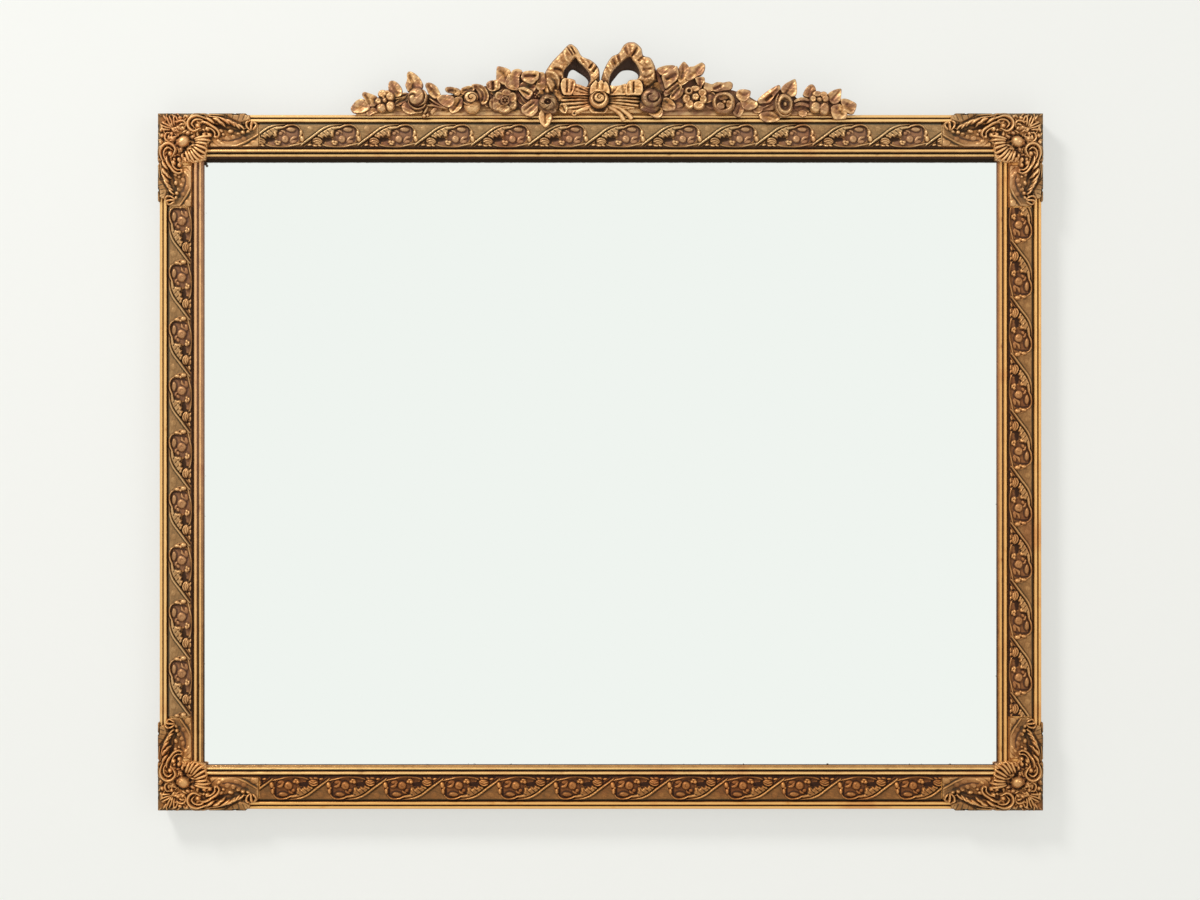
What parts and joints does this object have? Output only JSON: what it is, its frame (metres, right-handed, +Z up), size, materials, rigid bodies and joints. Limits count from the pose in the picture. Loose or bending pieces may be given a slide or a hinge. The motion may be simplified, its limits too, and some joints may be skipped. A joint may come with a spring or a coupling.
{
  "type": "overmantel wall mirror",
  "caption": "Rectangular wall mirror in a moulded gilt frame with leaf friezes, shell corners, a rose and ribbon crest, silvered glass, backboard and swinging hanging rings",
  "frame": {"origin": "centre of the bottom rail's back face, on the wall plane", "axes": "+X to the right and +Z up as seen from the front; the mirror faces -Y and the wall is at y = 0"},
  "size_m": [0.918, 0.0398, 0.7969],
  "materials": {
    "water_gilt_moulding": "aged water gilding over red bole on softwood moulding",
    "pressed_frieze": "pressed composition strip, gilt and toned with brown glaze in its hollows",
    "gilt_composition": "cast composition ornament, gilt, with worn highlights and dark glaze in its hollows",
    "silvered_glass": "silvered mirror plate",
    "plywood_back": "raw aged plywood",
    "packing_softwood": "raw softwood",
    "wire_nails": "dull steel wire",
    "steel_ring": "dull plated steel wire",
    "brassed_strap": "tarnished brass sheet",
    "brass_screws": "tarnished brass"
  },
  "bodies": {
    "mirror": {"top_rail": "water_gilt_moulding", "left_rail": "water_gilt_moulding", "bottom_rail": "water_gilt_moulding", "right_rail": "water_gilt_moulding", "top_frieze": "pressed_frieze", "left_frieze": "pressed_frieze", "bottom_frieze": "pressed_frieze", "right_frieze": "pressed_frieze", "corner_top_left": "gilt_composition", "corner_bottom_left": "gilt_composition", "corner_bottom_right": "gilt_composition", "corner_top_right": "gilt_composition", "crest_plinth": "water_gilt_moulding", "crest_screws": "brass_screws", "spray_left": "gilt_composition", "spray_right": "gilt_composition", "bow_base": "gilt_composition", "bow_loop_left": "gilt_composition", "bow_loop_right": "gilt_composition", "bow_knot": "gilt_composition", "blossom_left": "gilt_composition", "rosebud_left": "gilt_composition", "cupped_rose_left": "gilt_composition", "open_rose_left": "gilt_composition", "inner_rose_left": "gilt_composition", "inner_rose_right": "gilt_composition", "open_rose_right": "gilt_composition", "cupped_rose_right": "gilt_composition", "rosebud_right": "gilt_composition", "blossom_right": "gilt_composition", "mirror_glass": "silvered_glass", "glass_packers": "packing_softwood", "backboard": "plywood_back", "sprigs": "wire_nails", "mitre_nails": "wire_nails", "hanger_strap_left": "brassed_strap", "hanger_screws_left": "brass_screws", "hanger_strap_right": "brassed_strap", "hanger_screws_right": "brass_screws"},
    "ring_left": {"hanger_ring_left": "steel_ring"},
    "ring_right": {"hanger_ring_right": "steel_ring"}
  },
  "joints": [
    {"name": "left_ring_swing", "type": "hinge", "parent": "mirror", "child": "ring_left", "pos_m": [-0.4398, 0.00258, 0.5083], "axis": [-1, 0, 0], "range_deg": [0, 170]},
    {"name": "right_ring_swing", "type": "hinge", "parent": "mirror", "child": "ring_right", "pos_m": [0.4398, 0.00258, 0.5083], "axis": [-1, 0, 0], "range_deg": [0, 170]}
  ]
}
